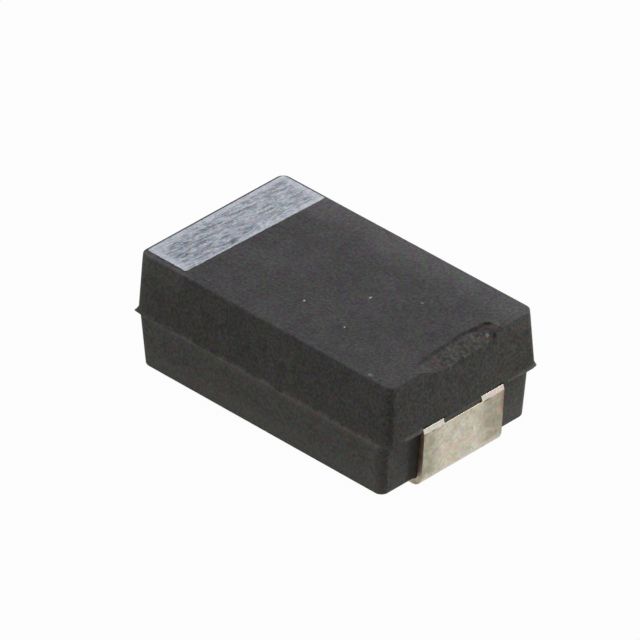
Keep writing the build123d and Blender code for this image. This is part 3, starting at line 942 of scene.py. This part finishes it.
def matt_tin():
    """Cloudy matt tin plate: a paler middle, ears lighter by a painted highlight and darker by painted shade
    where they go under the rim, and a brown crack where they fold.
    """
    look = Finish("matt_tin", Metallic=1.0)
    x, y, z = look.axes()
    cloudy = look.cloud(3.6, 4, 0.6)
    warp = look.cloud(1.6, 2, 0.5, offset=(3, 3, 3)) - 0.5
    blotch = look.cloud(7, 4, 0.65, offset=(2, 5, 1))
    grain = look.cloud(26, 2, 0.6)
    shifted = y + warp * 0.5 + z * 0.10
    middle = shifted.ramp(-0.90, -0.45) * shifted.fall(0.60, 0.95)
    tarnish = shifted.ramp(0.50, 0.90)
    foot = z.fall(0.16, 0.34)
    ears = z.ramp(1.333, 1.353) * abs(y).ramp(0.50, 0.55)
    broken = look.cloud(5, 2, 0.5, stretch=(1, 1, 0.1)).ramp(0.36, 0.52)
    crack = abs(z - 1.340 - warp * 0.02).fall(0.008, 0.028) * broken
    rust = (y + warp * 0.08).ramp(1.06, 1.16) * z.ramp(0.60, 0.90) * z.fall(1.28, 1.33)
    colour = look.layers(
        tone(158, 153, 132),
        (cloudy.ramp(0.34, 0.66) * 0.45 + middle * 0.55, (210, 204, 188)),
        (tarnish * 0.45, (146, 138, 116)),
        (foot * 0.7, (214, 208, 192)),
        (blotch.ramp(0.50, 0.68) * 0.50, (202, 172, 152)),
        (blotch.fall(0.32, 0.48) * 0.50, (146, 150, 134)),
        (grain.ramp(0.55, 0.85) * 0.30, (140, 138, 128)),
        # Painted highlight: the ears are lighter where they face the light
        (ears * 0.85, (210, 204, 194)),
        # Painted shade on the tops of the ears where they go under the rim
        (z.ramp(1.433, 1.458) * 0.55, (176, 168, 156)),
        (crack * 0.7 * abs(y).ramp(0.52, 0.60), (104, 72, 58)),
        (rust * 0.75, (146, 108, 94)),
    )
    colour = look.speckle(colour, 0.35, 14)
    rough = 0.40 + cloudy * 0.16
    relief = look.relief(cloudy * 0.6 + grain * 0.25, 0.006)
    return look.wear(Base_Color=colour, Roughness=rough, Normal=relief)


def sheared_edge():
    """The cut edge of the strip: base metal up the riser, its darkness partly painted dark reflection, and
    plated tone along the foot, partly a painted reflection of the floor.
    """
    look = Finish("sheared_edge", Metallic=1.0)
    x, _, z = look.axes()
    drag = look.cloud(20, 3, 0.6, stretch=(1, 1, 0.3))
    stain_and_shade = look.cloud(3, 3, 0.6)
    # Painted reflection: the bare tone is darkened for a dark reflection, and the plated tone is lightened
    # for the floor's
    bare = look.blend(stain_and_shade.ramp(0.35, 0.65), tone(104, 80, 68), tone(138, 108, 94))
    plated = look.blend(stain_and_shade.ramp(0.35, 0.65), tone(158, 148, 124), tone(196, 186, 162))
    depth = (z - RISER_FOOT[1]) * RISER_SLOPE + RISER_FOOT[0] + SHEET / 2 - abs(x)
    rolled = (depth + stain_and_shade * 0.03).fall(-0.01, 0.14)
    colour = look.blend((z + stain_and_shade * 0.1).ramp(0.20, 0.50) * (1 - rolled * 0.75), plated, bare)
    return look.wear(Base_Color=colour, Roughness=0.5 + drag * 0.2, Normal=look.relief(drag, 0.005))


def plain_finish(name, dark, light, per_mm, depth_mm, rough, metal):
    """A fine-grained finish between two colours, for the pieces inside the case."""
    look = Finish(name, Metallic=metal)
    grain = look.cloud(per_mm, 4, 0.65)
    wide = look.cloud(per_mm / 9, 3, 0.5)
    colour = look.layers(tone(*dark), ((grain * 0.6 + wide * 0.4).ramp(0.3, 0.7), light))
    rough = rough - 0.1 + grain * 0.2
    return look.wear(Base_Color=colour, Roughness=rough, Normal=look.relief(grain, depth_mm))


# The part

epoxy, tin, edge = matt_epoxy(), matt_tin(), sheared_edge()
moulded_case(epoxy)
flash_ridge(epoxy)
slot_film(epoxy)
cathode_run = [(3.378, EXIT_HEIGHT), (2.87, 0.505), (-0.33, 0.505)]
lead_frame_terminal("cathode_lead", 1, cathode_run, [STEP_BEND, STEP_BEND], None, [tin, edge],
                    "cathode_terminal")
anode_run = [(2.60, EXIT_HEIGHT)]
anode_tab = (3.07, 1.30)
lead_frame_terminal("anode_lead", -1, anode_run, [], anode_tab, [tin, edge], "anode_terminal")
marked_band(burnt_mark())

# Pieces inside the case: finish, dark and light tone, grains per millimetre, relief, roughness, metal
inner_finishes = {
    "tantalum_wire": ("drawn_tantalum", (120, 122, 126), (150, 152, 156), 18, 0.002, 0.4, 1.0),
    "tantalum_pellet": ("sintered_tantalum", (52, 52, 55), (78, 78, 82), 30, 0.01, 0.8, 0.6),
    "insulating_washer": ("white_fluoropolymer", (222, 222, 218), (238, 238, 235), 12, 0.002, 0.5, 0),
    "manganese_dioxide_layer": ("manganese_dioxide", (24, 23, 24), (40, 38, 38), 22, 0.008, 0.75, 0),
    "graphite_layer": ("graphite_coat", (44, 44, 47), (62, 62, 66), 16, 0.004, 0.5, 0),
    "silver_coat": ("silver_paint", (168, 168, 164), (202, 202, 198), 20, 0.005, 0.55, 0.7),
    "silver_adhesive": ("silver_adhesive_fill", (150, 150, 146), (186, 186, 182), 14, 0.008, 0.6, 0.6),
}
for node, row in inner_finishes.items():
    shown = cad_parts[node]
    shown.data.materials.clear()
    shown.data.materials.append(plain_finish(*row))


# Floor, light and camera

# Light from all round, the paper's own tone, and how much of it gives way to pure white
AMBIENT = 0.22
PAPER_TONE = 0.35
PAPER_WHITE = 0.97

# The photograph's view in degrees and millimetres, with a half pixel's shift of the picture's middle
VIEW_AZIMUTH = 44.6723
VIEW_ELEVATION = 33.8781
VIEW_DISTANCE = 228.586
VIEW_TARGET = (-0.6074, 0.1674, 1.50)
HALF_PIXEL = 0.01034
FOCAL_LENGTH = 621.855
SENSOR_WIDTH = 36.0


def white_backdrop(bench, lit, share, kind):
    """White for the camera, in reflections and through glass, over what the light makes of the surface."""
    path = bench.node("ShaderNodeLightPath").outputs
    rays = [Value(bench, path[f"Is {ray} Ray"]) for ray in ("Camera", "Glossy", "Transmission")]
    seen = rays[0] + rays[1] + rays[2]
    factor = seen.calc("MINIMUM", seen, 1.0) * share
    white = bench.node(kind).outputs[0]
    return bench.node("ShaderNodeMixShader", {}, {0: factor, 1: lit, 2: white}).outputs[0]


def studio_world():
    """Even light from all round, white where the camera sees past the floor."""
    world = bpy.data.worlds.new("studio")
    world.use_nodes = True
    bench = Bench(world.node_tree)
    ambient = bench.node("ShaderNodeBackground", {}, {"Color": (1, 1, 1, 1), "Strength": AMBIENT})
    shown = white_backdrop(bench, ambient.outputs[0], 1.0, "ShaderNodeBackground")
    bench.node("ShaderNodeOutputWorld", {}, {0: shown})
    return world


def white_paper():
    """Matt paper that looks white to the camera and still takes a faint shadow."""
    paper = bpy.data.materials.new("white_paper")
    paper.use_nodes = True
    bench = Bench(paper.node_tree)
    matt = bench.node("ShaderNodeBsdfDiffuse", {}, {"Color": (PAPER_TONE, PAPER_TONE, PAPER_TONE, 1)})
    shown = white_backdrop(bench, matt.outputs[0], PAPER_WHITE, "ShaderNodeEmission")
    bench.node("ShaderNodeOutputMaterial", {}, {0: shown})
    return paper


def toward(azimuth, elevation):
    """Direction from the part to something at an azimuth and elevation in degrees."""
    across, up = math.radians(azimuth), math.radians(elevation)
    return Vector((math.sin(across) * math.cos(up), -math.cos(across) * math.cos(up), math.sin(up)))


def aim(name, data, place, direction):
    """A lamp or camera at a place, looking back along the direction that it lies in."""
    made = new_object(name, data)
    made.location = place
    made.rotation_mode = "QUATERNION"
    made.rotation_quaternion = direction.to_track_quat("Z", "Y")
    return made


def softbox(name, azimuth, elevation, distance, size, level):
    """A square lamp aimed at the part's middle, so many times as bright as white paper."""
    data = bpy.data.lights.new(name, "AREA")
    data.shape, data.size = "SQUARE", size
    data.energy = level * math.pi * size * size
    direction = toward(azimuth, elevation)
    aim(name, data, direction * distance + Vector((0, 0, 0.0014)), direction)


def photograph_view():
    """The camera, placed where the photograph was taken from."""
    view_from = toward(VIEW_AZIMUTH, VIEW_ELEVATION)
    right = Vector((0, 0, 1)).cross(view_from).normalized()
    up = view_from.cross(right)
    target = (Vector(VIEW_TARGET) - right * HALF_PIXEL + up * HALF_PIXEL) * MM
    lens = bpy.data.cameras.new("view")
    lens.lens, lens.sensor_width = FOCAL_LENGTH, SENSOR_WIDTH
    lens.clip_start, lens.clip_end = 0.05, 10.0
    return aim("view", lens, target + view_from * VIEW_DISTANCE * MM, view_from)


floor_mesh = bpy.data.meshes.new("floor")
floor_mesh.from_pydata([(-3, -3, 0), (3, -3, 0), (3, 3, 0), (-3, 3, 0)], [], [(0, 1, 2, 3)])
floor_mesh.materials.append(white_paper())
floor = new_object("floor", floor_mesh)

scene = bpy.context.scene
scene.view_settings.view_transform = "Standard"
scene.world = studio_world()
softbox("key", azimuth=155, elevation=24, distance=0.045, size=0.024, level=9.4)
softbox("top", azimuth=350, elevation=66, distance=0.12, size=0.08, level=2.97)
scene.camera = photograph_view()
